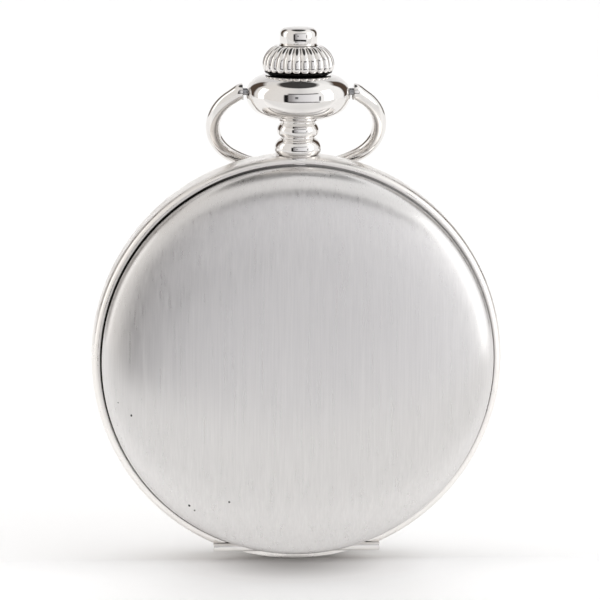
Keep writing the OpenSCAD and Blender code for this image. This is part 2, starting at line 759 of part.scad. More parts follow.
module fourth_wheel() {
  color("khaki") upright() {
    translate([fourth_at[0], fourth_at[1], 0]) spoked(fourth_teeth, fourth_module, 0, -0.9, -0.75, 5, 0.7);
    train_arbor(fourth_at, fourth_leaves, going_module, fourth_leaf_phase, -0.62, -0.18, 0.3);
    translate([fourth_at[0], fourth_at[1], 0]) disc(0.14, 0, 3.5);
  }
}

module escape_wheel() {
  color("khaki") upright() {
    train_arbor(escape_at, escape_leaves, fourth_module, escape_leaf_phase, -1.0, -0.65, 0.22);
    translate([escape_at[0], escape_at[1], 0]) difference() {
      translate([0, 0, -0.1]) linear_extrude(height = 0.2) polygon([for (i = [0:escape_teeth - 1])
        for (e = [[0, 2.6], [2.2, 2.58], [6, 1.95], [20, 1.9]])
          [e[1] * cos(24 * i + e[0] + lever_angle), e[1] * sin(24 * i + e[0] + lever_angle)]]);
      difference() {
        disc(1.6, -1, 1);
        disc(0.6, -2, 2);
        for (i = [0:3]) rotate(i * 90) translate([0, -0.12, -2]) cube([3, 0.24, 4]);
      }
    }
  }
}

// --- escapement -----------------------------------------------------------------------------

// Pallet stones stand just outside the circle of the escape wheel's tips.
module pallet_fork() {
  color("silver") upright() translate([pallet_at[0], pallet_at[1], 0]) rotate(lever_angle) {
    disc(0.14, -0.78, 0.95);
    disc(0.35, -0.45, 0.5);
    translate([0, -0.12, -0.12]) cube([1.9, 0.24, 0.24]);
    // fork with a slot for the impulse pin
    translate([1.75, 0.21, -0.12]) cube([0.5, 0.16, 0.24]);
    translate([1.75, -0.37, -0.12]) cube([0.5, 0.16, 0.24]);
    translate([1.6, -0.37, -0.12]) cube([0.2, 0.74, 0.24]);
    for (s = [0, 1]) mirror([0, s, 0])
      translate([0, 0, -0.12]) linear_extrude(height = 0.24)
        polygon([[0.1, 0.1], [-0.5, 1.75], [-0.85, 1.75], [-0.3, -0.05]]);
  }
}

module pallet_stones() {
  color("crimson") upright() translate([pallet_at[0], pallet_at[1], 0]) rotate(lever_angle)
    for (s = [0, 1]) mirror([0, s, 0])
      translate([-0.85, 1.75, -0.2]) cube([0.35, 0.35, 0.4]);
}

module balance_wheel() {
  color("khaki") upright() translate([balance_at[0], balance_at[1], 0]) {
    difference() {
      union() {
        ring(balance_radius, balance_radius - 0.45, -1.5, -1.1);
        translate([-balance_radius + 0.2, -0.3, -1.3]) cube([2 * balance_radius - 0.4, 0.6, 0.2]);
        disc(0.7, -1.3, -1.1);
      }
      disc(0.3, -3, 0);
    }
    for (a = [20:40:160]) for (s = [0, 180]) rotate(a + s) translate([balance_radius - 0.1, 0, -1.3])
      rotate([0, 90, 0]) cylinder(r = 0.17, h = 0.28, $fn = 16);
  }
}

module balance_staff() {
  color("gray") upright() translate([balance_at[0], balance_at[1], 0]) {
    disc(0.14, -2.4, 0.95);
    disc(0.3, -1.95, 0.5);
    disc(0.9, -0.6, -0.4);
    rotate(lever_angle + 180) translate([0.72, 0, -0.5]) cylinder(r = 0.11, h = 0.6, $fn = 24);
  }
}

module hairspring() {
  color("steelblue") upright() translate([balance_at[0], balance_at[1], 0]) {
    ring(0.55, 0.3, -1.85, -1.6);
    spiral(0.57, 2.5, 8, 0.05, -1.82, -1.63, 16);
  }
}

case_band();
hinge_pin();
pendant();
pendant_sleeve();
bow_pins();
front_bezel();
crystal();
back_cover();
dust_cover();
movement_ring();
case_screws();
catch_spring();
catch_post();
lift_spring();
front_cover();
bow();
crown_bush();
crown();
stem();
push_button();
release_collar();
winding_pinion();
sliding_pinion();
setting_lever();
dial();
hour_markers();
minute_track();
hour_hand();
minute_hand();
seconds_hand();
cannon_pinion();
minute_wheel();
hour_wheel();
main_plate();
barrel_bridge();
train_bridge();
balance_cock();
pallet_bridge();
bridge_screws();
jewels();
barrel_drum();
barrel_cover();
mainspring();
barrel_arbor();
ratchet_wheel();
ratchet_screw();
crown_wheel();
crown_wheel_screw();
click();
click_post();
click_spring();
center_wheel();
third_wheel();
fourth_wheel();
escape_wheel();
pallet_fork();
pallet_stones();
balance_wheel();
balance_staff();
hairspring();
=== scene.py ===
"""Looks, stage, lights and camera of a hunter pocket watch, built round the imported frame."""
import json
import math

import bmesh
import bpy
from mathutils import Matrix, Quaternion, Vector


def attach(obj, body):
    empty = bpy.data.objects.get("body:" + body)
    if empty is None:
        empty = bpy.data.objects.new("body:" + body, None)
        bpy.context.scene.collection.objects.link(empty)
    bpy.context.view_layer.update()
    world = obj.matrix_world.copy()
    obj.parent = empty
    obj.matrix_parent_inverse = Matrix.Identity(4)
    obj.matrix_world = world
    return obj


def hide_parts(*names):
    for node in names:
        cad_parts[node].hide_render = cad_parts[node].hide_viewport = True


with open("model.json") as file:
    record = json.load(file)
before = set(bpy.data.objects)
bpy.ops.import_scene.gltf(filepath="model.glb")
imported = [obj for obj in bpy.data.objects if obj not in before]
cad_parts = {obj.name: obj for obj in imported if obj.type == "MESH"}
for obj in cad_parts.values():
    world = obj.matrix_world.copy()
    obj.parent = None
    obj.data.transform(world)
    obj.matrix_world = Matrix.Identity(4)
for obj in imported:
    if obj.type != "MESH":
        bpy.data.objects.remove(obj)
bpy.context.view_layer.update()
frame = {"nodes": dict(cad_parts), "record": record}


nodes = frame["nodes"]

# ---------------------------------------------------------------- sizes
# Profiles and places are in millimetres. The case is laid flat, front upward, with its pendant toward +Y.

MM = 0.001
MID_Y = -7.0 * MM  # world place of the case's middle plane
FLOOR_Z = -23.52 * MM  # just under the case

BAND_R, BAND_BORE, BAND_HALF = 23.5, 19.7, 2.5
CHANNEL_IN, CHANNEL_OUT = 20.2, 21.9  # the ring-shaped channel in the band that holds the springs
STEM_HOLE, PENDANT_HOLE = 1.5, 2.4  # radii
COVER_R, COVER_BASE, COVER_RISE, COVER_WALL = 22.4, 3.0, 4.0, 0.6
HINGE_Y, HINGE_Z = -21.7, 2.4
KNUCKLE_R, KNUCKLE_CLEAR, PIN_HOLE = 0.55, 0.68, 0.31
KNUCKLE_MID, KNUCKLE_END = 3.5, 9.6  # half-lengths of the cover's knuckle and of the whole barrel
KNUCKLE_GAP = 0.06
HINGE_ROOM = 9.9  # half-length of what is cut away round the barrel
HINGE_CUT = 8.8  # half-length of the band's cut for the hinge
DIAL_FACE = 3.3
PIVOT_HEIGHT, BOW_WIRE = 30.6, 0.8
BOW_LEAN = 32  # degrees back from straight down
CROWN_RIBS, RIB_DEPTH, RIB_START = 24, 0.42, 2.2
BUTTON_R = 2.13


def flat(x, y, z):
    """World place of a point of the case, which stands up with its front toward -Y."""
    return Vector((x * MM, MID_Y - z * MM, y * MM))


def upright(x, y, z):
    """World place of a point of the pendant, measured about its own vertical axis."""
    return Vector((x * MM, MID_Y + y * MM, z * MM))


# ---------------------------------------------------------------- node helpers


def new_material(name):
    m = bpy.data.materials.new(name)
    m.use_nodes = True
    nt = m.node_tree
    nt.nodes.clear()
    out = nt.nodes.new("ShaderNodeOutputMaterial")
    b = nt.nodes.new("ShaderNodeBsdfPrincipled")
    nt.links.new(b.outputs[0], out.inputs[0])
    return m, nt, b


def mapped(nt, scale, rot=(0, 0, 0), shift=(0, 0, 0)):
    tc = nt.nodes.new("ShaderNodeTexCoord")
    mp = nt.nodes.new("ShaderNodeMapping")
    mp.inputs["Scale"].default_value = scale
    mp.inputs["Rotation"].default_value = rot
    mp.inputs["Location"].default_value = shift
    nt.links.new(tc.outputs["Object"], mp.inputs["Vector"])
    return mp.outputs[0]


def object_axis(nt, axis):
    tc = nt.nodes.new("ShaderNodeTexCoord")
    sp = nt.nodes.new("ShaderNodeSeparateXYZ")
    nt.links.new(tc.outputs["Object"], sp.inputs[0])
    return sp.outputs[axis]


def noise(nt, vec, detail=4.0, rough=0.6):
    n = nt.nodes.new("ShaderNodeTexNoise")
    n.inputs["Scale"].default_value = 1.0
    n.inputs["Detail"].default_value = detail
    n.inputs["Roughness"].default_value = rough
    nt.links.new(vec, n.inputs["Vector"])
    return n.outputs["Fac"]


def ramp(nt, fac, stops):
    r = nt.nodes.new("ShaderNodeValToRGB")
    e = r.color_ramp.elements
    while len(e) < len(stops):
        e.new(0.5)
    for el, (p, c) in zip(e, stops):
        el.position = p
        el.color = (*c, 1)
    nt.links.new(fac, r.inputs[0])
    return r.outputs[0]


def grey(value):
    return (value, value, value)


def to_range(nt, fac, lo, hi, a=0.0, b=1.0):
    """Maps a..b onto lo..hi, clamped."""
    n = nt.nodes.new("ShaderNodeMapRange")
    n.inputs["From Min"].default_value = a
    n.inputs["From Max"].default_value = b
    n.inputs["To Min"].default_value = lo
    n.inputs["To Max"].default_value = hi
    nt.links.new(fac, n.inputs["Value"])
    return n.outputs[0]


def math_node(nt, op, a, b):
    n = nt.nodes.new("ShaderNodeMath")
    n.operation = op
    for i, v in enumerate((a, b)):
        if isinstance(v, (int, float)):
            n.inputs[i].default_value = v
        else:
            nt.links.new(v, n.inputs[i])
    return n.outputs[0]


def mix(nt, fac, a, b, blend="MIX"):
    """Mixes two colours; each of the three may be a value or a socket."""
    n = nt.nodes.new("ShaderNodeMix")
    n.data_type = "RGBA"
    n.blend_type = blend
    for i, v in ((0, fac), (6, a), (7, b)):
        if isinstance(v, (int, float)):
            n.inputs[i].default_value = v
        elif isinstance(v, tuple):
            n.inputs[i].default_value = (*v, 1)
        else:
            nt.links.new(v, n.inputs[i])
    return n.outputs[2]


def bump(nt, b, height, strength, distance):
    n = nt.nodes.new("ShaderNodeBump")
    n.inputs["Strength"].default_value = strength
    n.inputs["Distance"].default_value = distance
    nt.links.new(height, n.inputs["Height"])
    nt.links.new(n.outputs[0], b.inputs["Normal"])


# ---------------------------------------------------------------- materials
# Noise scales are in cycles per metre.


def brushed(name, colour, rough, aniso, tone):
    """Satin metal with a fine vertical grain."""
    m, nt, b = new_material(name)
    lean = (0, math.radians(6), 0)
    fine = noise(nt, mapped(nt, (5200, 5200, 130), lean), 2.0, 0.5)
    wide = noise(nt, mapped(nt, (1500, 1500, 45), lean), 3.0, 0.55)
    both = math_node(nt, "ADD", math_node(nt, "MULTIPLY", fine, 0.55), math_node(nt, "MULTIPLY", wide, 0.45))
    lo = [c * (1 - tone) for c in colour]
    hi = [min(1, c * (1 + tone)) for c in colour]
    nt.links.new(ramp(nt, both, [(0.3, lo), (0.7, hi)]), b.inputs["Base Color"])
    nt.links.new(to_range(nt, both, rough - 0.05, rough + 0.06, 0.3, 0.7), b.inputs["Roughness"])
    b.inputs["Metallic"].default_value = 1.0
    b.inputs["Anisotropic"].default_value = aniso
    t = nt.nodes.new("ShaderNodeTangent")
    t.direction_type = "RADIAL"
    t.axis = "Z"
    nt.links.new(t.outputs[0], b.inputs["Tangent"])
    bump(nt, b, both, 0.11, 0.000004)
    return m


def polished(name, colour, rough, wear=0.05):
    """Bright metal with a faint haze and fine scuffs."""
    m, nt, b = new_material(name)
    haze = noise(nt, mapped(nt, (500, 500, 500)), 5.0, 0.65)
    scuff = noise(nt, mapped(nt, (3500, 900, 3500), (0.3, 0.5, 0.2)), 2.0, 0.5)
    lo = [c * 0.96 for c in colour]
    nt.links.new(ramp(nt, haze, [(0.35, lo), (0.65, colour)]), b.inputs["Base Color"])
    r = math_node(nt, "ADD", to_range(nt, haze, rough * 0.7, rough * 1.5, 0.3, 0.7),
                  to_range(nt, scuff, 0.0, wear, 0.6, 0.8))
    nt.links.new(r, b.inputs["Roughness"])
    b.inputs["Metallic"].default_value = 1.0
    bump(nt, b, scuff, 0.05, 0.000006)
    return m


def grained(name, colour, rough=0.32, scale=2500, depth=0.15):
    """Frosted or grained plate metal."""
    m, nt, b = new_material(name)
    g = noise(nt, mapped(nt, (scale, scale, scale)))
    nt.links.new(ramp(nt, g, [(0.3, [c * 0.86 for c in colour]), (0.7, colour)]), b.inputs["Base Color"])
    nt.links.new(to_range(nt, g, rough - 0.06, rough + 0.08, 0.3, 0.7), b.inputs["Roughness"])
    b.inputs["Metallic"].default_value = 1.0
    bump(nt, b, g, depth, 0.00001)
    return m


def shaded_to_left(name, lit_colour, shade_colour, rough=0.4):
    """Grained metal, darkened toward the left (-X) side of the watch by painted shade."""
    m, nt, b = new_material(name)
    g = noise(nt, mapped(nt, (1200, 1200, 1200)), 3.0, 0.6)
    across = to_range(nt, object_axis(nt, "X"), 0, 1, -0.011, 0.0)
    nt.links.new(ramp(nt, across, [(0.0, shade_colour), (1.0, lit_colour)]), b.inputs["Base Color"])
    nt.links.new(to_range(nt, g, rough - 0.08, rough + 0.08, 0.3, 0.7), b.inputs["Roughness"])
    b.inputs["Metallic"].default_value = 1.0
    bump(nt, b, g, 0.1, 0.00001)
    return m


def gloss(name, colour, rough=0.15, coat=0.5, mottle=0.03):
    """Enamel, paint or stone under a clear coat."""
    m, nt, b = new_material(name)
    g = noise(nt, mapped(nt, (300, 300, 300)))
    darker = [c * (1 - mottle) for c in colour]
    nt.links.new(ramp(nt, g, [(0.3, darker), (0.7, colour)]), b.inputs["Base Color"])
    nt.links.new(to_range(nt, g, rough, rough + 0.08, 0.3, 0.7), b.inputs["Roughness"])
    b.inputs["Coat Weight"].default_value = coat
    b.inputs["Coat Roughness"].default_value = 0.05
    return m


def glass(name, colour, rough=0.02, ior=1.5):
    m, nt, b = new_material(name)
    g = noise(nt, mapped(nt, (200, 200, 200)), 2.0, 0.5)
    nt.links.new(to_range(nt, g, rough, rough + 0.02, 0.3, 0.7), b.inputs["Roughness"])
    b.inputs["Base Color"].default_value = (*colour, 1)
    b.inputs["Transmission Weight"].default_value = 1.0
    b.inputs["IOR"].default_value = ior
    return m


M_COVER = brushed("brushed_cover", (0.75, 0.737, 0.728), 0.30, 0.8, 0.06)
M_CHROME = polished("polished_case", (0.83, 0.81, 0.79), 0.05)
M_BAND = polished("satin_band", (0.93, 0.905, 0.875), 0.30, 0.06)
M_BACK = polished("polished_back", (0.85, 0.84, 0.825), 0.12, 0.08)
M_DARK = grained("dark_steel", (0.40, 0.40, 0.41), 0.3)
# near-black for real grime specks on the cover and for painted shade under the crown
M_GRIME_AND_SHADE = grained("grime_and_painted_shade", (0.03, 0.028, 0.026), 0.45)
# painted shade for the seam's gap: near-black toward the left side, dark grey toward the right
M_SEAM_SHADE = shaded_to_left("seam_painted_shade", (0.42, 0.41, 0.40), (0.025, 0.024, 0.022))
M_SPRING = grained("spring_steel", (0.45, 0.47, 0.52), 0.25)
M_BLUED = grained("blued_steel", (0.035, 0.06, 0.22), 0.18, depth=0.05)
M_STEEL = grained("steel_work", (0.66, 0.66, 0.66), 0.25)
M_GILT = grained("gilt_brass", (0.86, 0.70, 0.40), 0.36, 4200, 0.3)
M_BRASS = grained("brass_wheels", (0.83, 0.63, 0.31), 0.28)
M_GLASS = glass("glass", (0.97, 0.985, 0.99))
M_ENAMEL = gloss("enamel", (0.90, 0.885, 0.85), 0.12, 0.6)
M_PRINT = gloss("black_print", (0.012, 0.012, 0.014), 0.3, 0.2)
M_RUBY = gloss("ruby", (0.45, 0.01, 0.07), 0.06, 1.0, 0.1)

by_slot = {
    "polished_case": M_CHROME, "brushed_cover": M_COVER, "dark_steel": M_DARK, "spring_steel": M_SPRING,
    "blued_steel": M_BLUED, "steel_work": M_STEEL, "gilt_brass": M_GILT, "brass_wheels": M_BRASS,
    "glass": M_GLASS, "enamel": M_ENAMEL, "black_print": M_PRINT, "ruby": M_RUBY,
}
for part in frame["record"]["subparts"]:
    ob = nodes.get(part["node"])
    if ob is not None:
        ob.data.materials.clear()
        ob.data.materials.append(by_slot[part["material_slot"]])

# ---------------------------------------------------------------- mesh tools


def shade(me, sharp):
    """Smooth faces, with edges steeper than the given angle kept crisp."""
    bm = bmesh.new()
    bm.from_mesh(me)
    limit = math.radians(sharp)
    for f in bm.faces:
        f.smooth = True
    for e in bm.edges:
        e.smooth = not (len(e.link_faces) == 2 and e.calc_face_angle(0) > limit)
    bm.to_mesh(me)
    bm.free()


def mesh_object(name, bm):
    bmesh.ops.remove_doubles(bm, verts=bm.verts, dist=1e-8)
    bmesh.ops.recalc_face_normals(bm, faces=bm.faces)
    me = bpy.data.meshes.new(name)
    bm.to_mesh(me)
    bm.free()
    ob = bpy.data.objects.new(name, me)
    bpy.context.scene.collection.objects.link(ob)
    return ob


def add_object(name, bm, material, body, stands_for=(), sharp=35):
    """A visible piece that rides on a body and takes the material it is given."""
    ob = mesh_object(name, bm)
    ob.data.materials.append(material)
    shade(ob.data, sharp)
    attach(ob, body)
    if stands_for:
        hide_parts(*stands_for)
    return ob


def lathe(bm, profile, place, segments=192, radius=None):
    """Turns a closed (r, height) profile about the height axis. place maps millimetres to the world."""
    rings = []
    for r, h in profile:
        if r < 1e-6:
            rings.append([bm.verts.new(place(0, 0, h))])
            continue
        ring = []
        for i in range(segments):
            a = 2 * math.pi * i / segments
            rr = r if radius is None else radius(r, a)
            ring.append(bm.verts.new(place(rr * math.cos(a), rr * math.sin(a), h)))
        rings.append(ring)
    for k, a in enumerate(rings):
        b = rings[(k + 1) % len(rings)]
        if len(a) == 1 and len(b) == 1:
            continue
        for i in range(segments):
            j = (i + 1) % segments
            if len(a) == 1:
                bm.faces.new((a[0], b[i], b[j]))
            elif len(b) == 1:
                bm.faces.new((a[i], b[0], a[j]))
            else:
                bm.faces.new((a[i], b[i], b[j], a[j]))


def turned(profile, place, segments=192, radius=None):
    bm = bmesh.new()
    lathe(bm, profile, place, segments, radius)
    return bm


def arc(cx, cy, r, start, end, steps):
    """Points of an arc, its angles in degrees."""
    angles = [math.radians(start + (end - start) * i / steps) for i in range(steps + 1)]
    return [(cx + r * math.cos(a), cy + r * math.sin(a)) for a in angles]


def pebble(r, h, base, start, end, steps):
    """A superellipse of power three, from the axis (0 degrees) to the rim (90 degrees)."""
    out = []
    for i in range(steps + 1):
        a = math.radians(start + (end - start) * i / steps)
        out.append((r * max(0.0, math.sin(a)) ** (2 / 3), base + h * max(0.0, math.cos(a)) ** (2 / 3)))
    return out


def curve_through(points, per):
    """A smooth line through points, kept crisp where a point has a third value."""
    out = []
    n = len(points)
    for i in range(n - 1):
        p0 = points[i - 1] if i > 0 and len(points[i]) < 3 else points[i]
        p1, p2 = points[i], points[i + 1]
        p3 = points[i + 2] if i + 2 < n and len(points[i + 1]) < 3 else points[i + 1]
        for k in range(per):
            t = k / per
            q = []
            for c in (0, 1):
                linear = (p2[c] - p0[c]) * t
                square = (2 * p0[c] - 5 * p1[c] + 4 * p2[c] - p3[c]) * t * t
                cube = (3 * p1[c] - p0[c] - 3 * p2[c] + p3[c]) * t ** 3
                q.append(0.5 * (2 * p1[c] + linear + square + cube))
            out.append(tuple(q))
    out.append(tuple(points[-1][:2]))
    return out


def sweep(bm, path, frames, radii, sides):
    """A tube along path with closed ends, whose cross-sections lie in the given frames."""
    rings = []
    for p, (u, v), r in zip(path, frames, radii):
        angles = [2 * math.pi * i / sides for i in range(sides)]
        rings.append([bm.verts.new(p + (u * math.cos(a) + v * math.sin(a)) * r) for a in angles])
    for a, b in zip(rings, rings[1:]):
        for i in range(sides):
            j = (i + 1) % sides
            bm.faces.new((a[i], b[i], b[j], a[j]))
    bm.faces.new(list(reversed(rings[0])))
    bm.faces.new(rings[-1])


def rod(start, end, r, sides=48, round_by=0.0, bore=0.0):
    """A rod between two world points, with rounded ends and an optional bore."""
    length = (end - start).length / MM
    quarter = [math.pi / 2 * i / 5 for i in range(6)]
    e = round_by
    prof = [(bore, 0.0)]
    if e:
        prof += [(r - e + e * math.sin(a), e - e * math.cos(a)) for a in quarter]
        prof += [(r - e + e * math.cos(a), length - e + e * math.sin(a)) for a in quarter]
    else:
        prof += [(r, 0.0), (r, length)]
    prof += [(bore, length)]
    d = (end - start).normalized()
    side = Vector((0, 0, 1)) if abs(d.z) < 0.9 else Vector((1, 0, 0))
    u = d.cross(side).normalized()
    w = d.cross(u)
    return turned(prof, lambda x, y, h: start + (u * x + w * y + d * h) * MM, sides)


def hinge_rod(x0, x1, r, sides=40, round_by=0.0, bore=0.0):
    return rod(flat(x0, HINGE_Y, HINGE_Z), flat(x1, HINGE_Y, HINGE_Z), r, sides, round_by, bore)


def block(lo, hi, bevel=0.0):
    """A box from two corners of the case laid flat, its edges softened if asked."""
    bm = bmesh.new()
    c = [bm.verts.new(flat(x, y, z)) for x in (lo[0], hi[0]) for y in (lo[1], hi[1]) for z in (lo[2], hi[2])]
    for f in ((0, 1, 3, 2), (4, 6, 7, 5), (0, 4, 5, 1), (2, 3, 7, 6), (0, 2, 6, 4), (1, 5, 7, 3)):
        bm.faces.new([c[i] for i in f])
    if bevel:
        bmesh.ops.bevel(bm, geom=list(bm.edges), offset=bevel * MM, segments=2, affect="EDGES")
    return bm


def cut(ob, *shapes):
    """Takes each shape out of a piece."""
    cutters = [mesh_object("cutter", bm) for bm in shapes]
    for c in cutters:
        mod = ob.modifiers.new("cut", "BOOLEAN")
        mod.operation = "DIFFERENCE"
        mod.solver = "EXACT"
        mod.object = c
    dg = bpy.context.evaluated_depsgraph_get()
    me = bpy.data.meshes.new_from_object(ob.evaluated_get(dg))
    ob.modifiers.clear()
    old = ob.data
    ob.data = me
    bpy.data.meshes.remove(old)
    for c in cutters:
        bpy.data.objects.remove(c)
    shade(ob.data, 30)


def hinge_block():
    """The room that the hinge takes out of the band at 6 o'clock."""
    return block((-HINGE_CUT, -25, 0.6), (HINGE_CUT, HINGE_Y, 4.6))


def hinge_middle():
    """The room that the cover's knuckle turns in."""
    half = KNUCKLE_MID + KNUCKLE_GAP
    return hinge_rod(-half, half, KNUCKLE_CLEAR)


# ---------------------------------------------------------------- front cover

rim = [(21.82, 2.66), (21.88, 2.58), (22.0, 2.56), (22.2, 2.56), (22.31, 2.575), (22.37, 2.62),
       (COVER_R, 2.7), (COVER_R, 2.85)]
outside = pebble(COVER_R, COVER_RISE, COVER_BASE, 90, 0, 90)
inside = pebble(COVER_R - COVER_WALL, COVER_RISE - COVER_WALL, COVER_BASE, 0, 90, 40)
shell = rim + outside + inside + [(COVER_R - COVER_WALL, 2.8)]
cover = add_object("cover_shell", turned(shell, flat, 320), M_COVER, "lid", ("front_cover",))
cut(cover, *[hinge_rod(s * KNUCKLE_MID, s * HINGE_ROOM, KNUCKLE_CLEAR) for s in (1, -1)])

knuckle = hinge_rod(-KNUCKLE_MID, KNUCKLE_MID, KNUCKLE_R, 48, 0.06, PIN_HOLE)
add_object("cover_knuckle", knuckle, M_CHROME, "lid")
add_object("cover_web", block((-3.4, -22.08, 2.57), (3.4, -21.55, 3.05), 0.05), M_CHROME, "lid")
add_object("cover_lip", block((-2.1, 21.32, 2.57), (2.1, 21.75, 2.84), 0.05), M_CHROME, "lid")


def cover_height(x, y):
    return COVER_BASE + COVER_RISE * (1 - (math.hypot(x, y) / COVER_R) ** 3) ** (1 / 3)


# a few tiny specks of grime on the lower left of the cover
SPECKS = ((-19.1, -5.6, 0.13), (-12.5, -16.1, 0.15), (-11.9, -16.7, 0.10), (-8.0, -15.6, 0.12),
          (-20.6, -4.2, 0.07))  # x, y, radius
bm = bmesh.new()
for x, y, r in SPECKS:
    flattened = Matrix.Diagonal((r * MM, 0.03 * MM, r * MM * 1.15, 1))
    place = Matrix.Translation(flat(x, y, cover_height(x, y) - 0.01)) @ flattened
    bmesh.ops.create_icosphere(bm, subdivisions=3, radius=1, matrix=place)
add_object("cover_specks", bm, M_GRIME_AND_SHADE, "lid", ())

# ---------------------------------------------------------------- pendant, crown, button

foot = [(2.2, 22.5, 1), (2.2, 23.0, 1), (2.42, 23.0, 1), (2.42, 23.2, 1), (2.2, 23.38, 1)]
lower_bead = [(2.4, 23.5), (2.6, 23.8), (2.67, 24.2), (2.6, 24.62), (2.35, 25.05), (1.95, 25.38, 1)]
upper_bead = [(1.95, 25.5, 1), (2.22, 25.68), (2.38, 26.05), (2.38, 26.45), (2.2, 26.88), (1.96, 27.12, 1)]
bulb = [(1.96, 27.2, 1), (2.3, 27.32), (3.4, 27.62), (4.45, 28.05), (5.15, 28.54), (5.65, 29.2),
        (5.88, 29.82), (5.92, 30.3), (5.87, 30.85), (5.6, 31.46), (5.15, 31.95), (4.6, 32.3), (4.1, 32.5),
        (3.7, 32.55), (3.45, 32.47), (3.32, 32.3, 1)]
bore = [(3.3, 31.9, 1), (1.5, 31.9, 1)]
outline = curve_through(foot + lower_bead + upper_bead + bulb + bore, 5) + [(1.5, 22.5)]
add_object("pendant_body", turned(outline, upright, 128), M_CHROME, "case", ("pendant",), sharp=40)


def ribbed(r, a):
    """Rounded ribs with narrow valleys between them, dying out toward the button and the stem."""
    if r < RIB_START:
        return r
    d = abs((a * CROWN_RIBS / (2 * math.pi)) % 1.0 - 0.5) * 2
    fade = min(1.0, max(0.0, (r - RIB_START) / 0.9))
    return r - RIB_DEPTH * (1 - math.sqrt(1 - (0.97 * d) ** 2)) * fade


well = BUTTON_R + 0.06  # the crown's recess for the button
onion = curve_through([
    (0.9, 32.9, 1), (3.72, 32.9, 1), (3.9, 33.02), (4.02, 33.25), (4.08, 33.6), (4.05, 34.05), (3.88, 34.62),
    (3.5, 35.2), (3.05, 35.62), (2.68, 35.82), (2.45, 35.85, 1), (well, 35.85, 1)], 5)
onion += [(well, 34.8), (0.9, 34.8)]
add_object("crown_knob", turned(onion, upright, CROWN_RIBS * 16, ribbed), M_CHROME, "crown_body", ("crown",),
           sharp=50)
# painted shade: a near-black cone under the crown's ribs stands in for the shade beneath the crown
bowl = [(0.9, 32.0), (2.1, 32.0), (2.5, 32.04), (2.9, 32.2), (3.15, 32.45), (3.35, 32.62), (3.62, 32.72),
        (3.78, 32.8), (3.84, 32.89), (0.9, 32.89)]
add_object("crown_shaded_underside", turned(bowl, upright, 96), M_GRIME_AND_SHADE, "crown_body", (), 50)

cap = [(0.0, 21.3), (0.41, 21.3), (0.41, 35.6), (2.05, 35.6), (BUTTON_R, 35.68), (BUTTON_R, 37.1),
       (2.12, 37.25), (2.08, 37.4), (2.0, 37.56), (1.88, 37.71), (1.7, 37.83), (1.4, 37.91), (1.0, 37.96),
       (0.5, 37.99), (0.0, 38.0)]
add_object("button_cap", turned(cap, upright, 96), M_CHROME, "button", ("push_button",), sharp=50)
cross_pin = rod(upright(-1.1, 0, 21.6), upright(1.1, 0, 21.6), 0.16, 24)
add_object("button_cross_pin", cross_pin, M_DARK, "button")

# ---------------------------------------------------------------- bow
# Its loop is drawn in a plane that leans back from the pivot: u to the right, v downward.

side = Vector((1, 0, 0))
down = Vector((0, math.sin(math.radians(BOW_LEAN)), -math.cos(math.radians(BOW_LEAN))))
across = side.cross(down)

shoulder = arc(4.35, 4.9, 5.2, -57.8, 56.73, 24)
bottom = arc(0, -1.73, 13.13, 56.73, 123.27, 32)[1:]
loop = shoulder + bottom + [(-u, v) for u, v in reversed(shoulder[:-1])]
# the wire turns level and thickens into a flat-faced eye at each end
eye_path = [(6.32, 0.0), (6.36, 0.0), (6.42, 0.0), (6.55, 0.03), (6.75, 0.14), (6.95, 0.3)]
eye_radii = [0.87, 0.93, 0.95, 0.94, 0.91, 0.88]
wire = eye_path + loop[1:-1] + [(-u, v) for u, v in reversed(eye_path)]
ease = [BOW_WIRE + 0.06 * (1 - i / 8) for i in range(8)]
end_radii = eye_radii + ease
radii = end_radii + [BOW_WIRE] * (len(wire) - 2 * len(end_radii)) + end_radii[::-1]
path, frames = [], []
for i, (u, v) in enumerate(wire):
    a, b = wire[max(0, i - 1)], wire[min(len(wire) - 1, i + 1)]
    along = (side * (b[0] - a[0]) + down * (b[1] - a[1])).normalized()
    path.append(upright(0, 0, PIVOT_HEIGHT) + (side * u + down * v) * MM)
    frames.append((across, across.cross(along)))
bm = bmesh.new()
sweep(bm, path, frames, [r * MM for r in radii], 40)
add_object("bow_ring", bm, M_CHROME, "bow_body", ("bow",), sharp=40)

# ---------------------------------------------------------------- band

wall = [(BAND_BORE, -BAND_HALF), (23.05, -BAND_HALF)] + arc(23.05, -2.2, 0.3, -80, -10, 5)
wall += [(23.44, -1.9), (23.49, -1.2), (BAND_R, 0.0), (23.49, 1.0), (23.46, 1.5), (23.4, 1.85), (23.28, 2.15),
         (23.1, 2.35), (22.88, 2.47), (22.7, BAND_HALF)]
seam_groove = [(22.64, 2.48), (22.62, 2.44), (22.62, 2.0), (CHANNEL_OUT, 2.0)]
channel = [(CHANNEL_OUT, -1.9), (CHANNEL_IN, -1.9), (CHANNEL_IN, BAND_HALF), (BAND_BORE, BAND_HALF)]
ring = turned(wall + seam_groove + channel, flat, 320)
band = add_object("band_ring", ring, M_BAND, "case", ("case_band",))
stem_bore = rod(flat(0, 18, 0), flat(0, 22.6, 0), STEM_HOLE)
pendant_bore = rod(flat(0, 22.55, 0), flat(0, 26, 0), PENDANT_HOLE)
cut(band, hinge_block(), hinge_middle(), stem_bore, pendant_bore)

# painted shade: a thin dark ring on the floor of the seam's groove stands in for the shade down in the gap
seam_shade_ring = turned([(21.95, 1.98), (22.58, 1.98), (22.58, 2.06), (21.95, 2.06)], flat, 320)
seam = add_object("band_seam_shade", seam_shade_ring, M_SEAM_SHADE, "case", ())
cut(seam, hinge_block(), hinge_rod(-HINGE_ROOM, HINGE_ROOM, KNUCKLE_CLEAR))

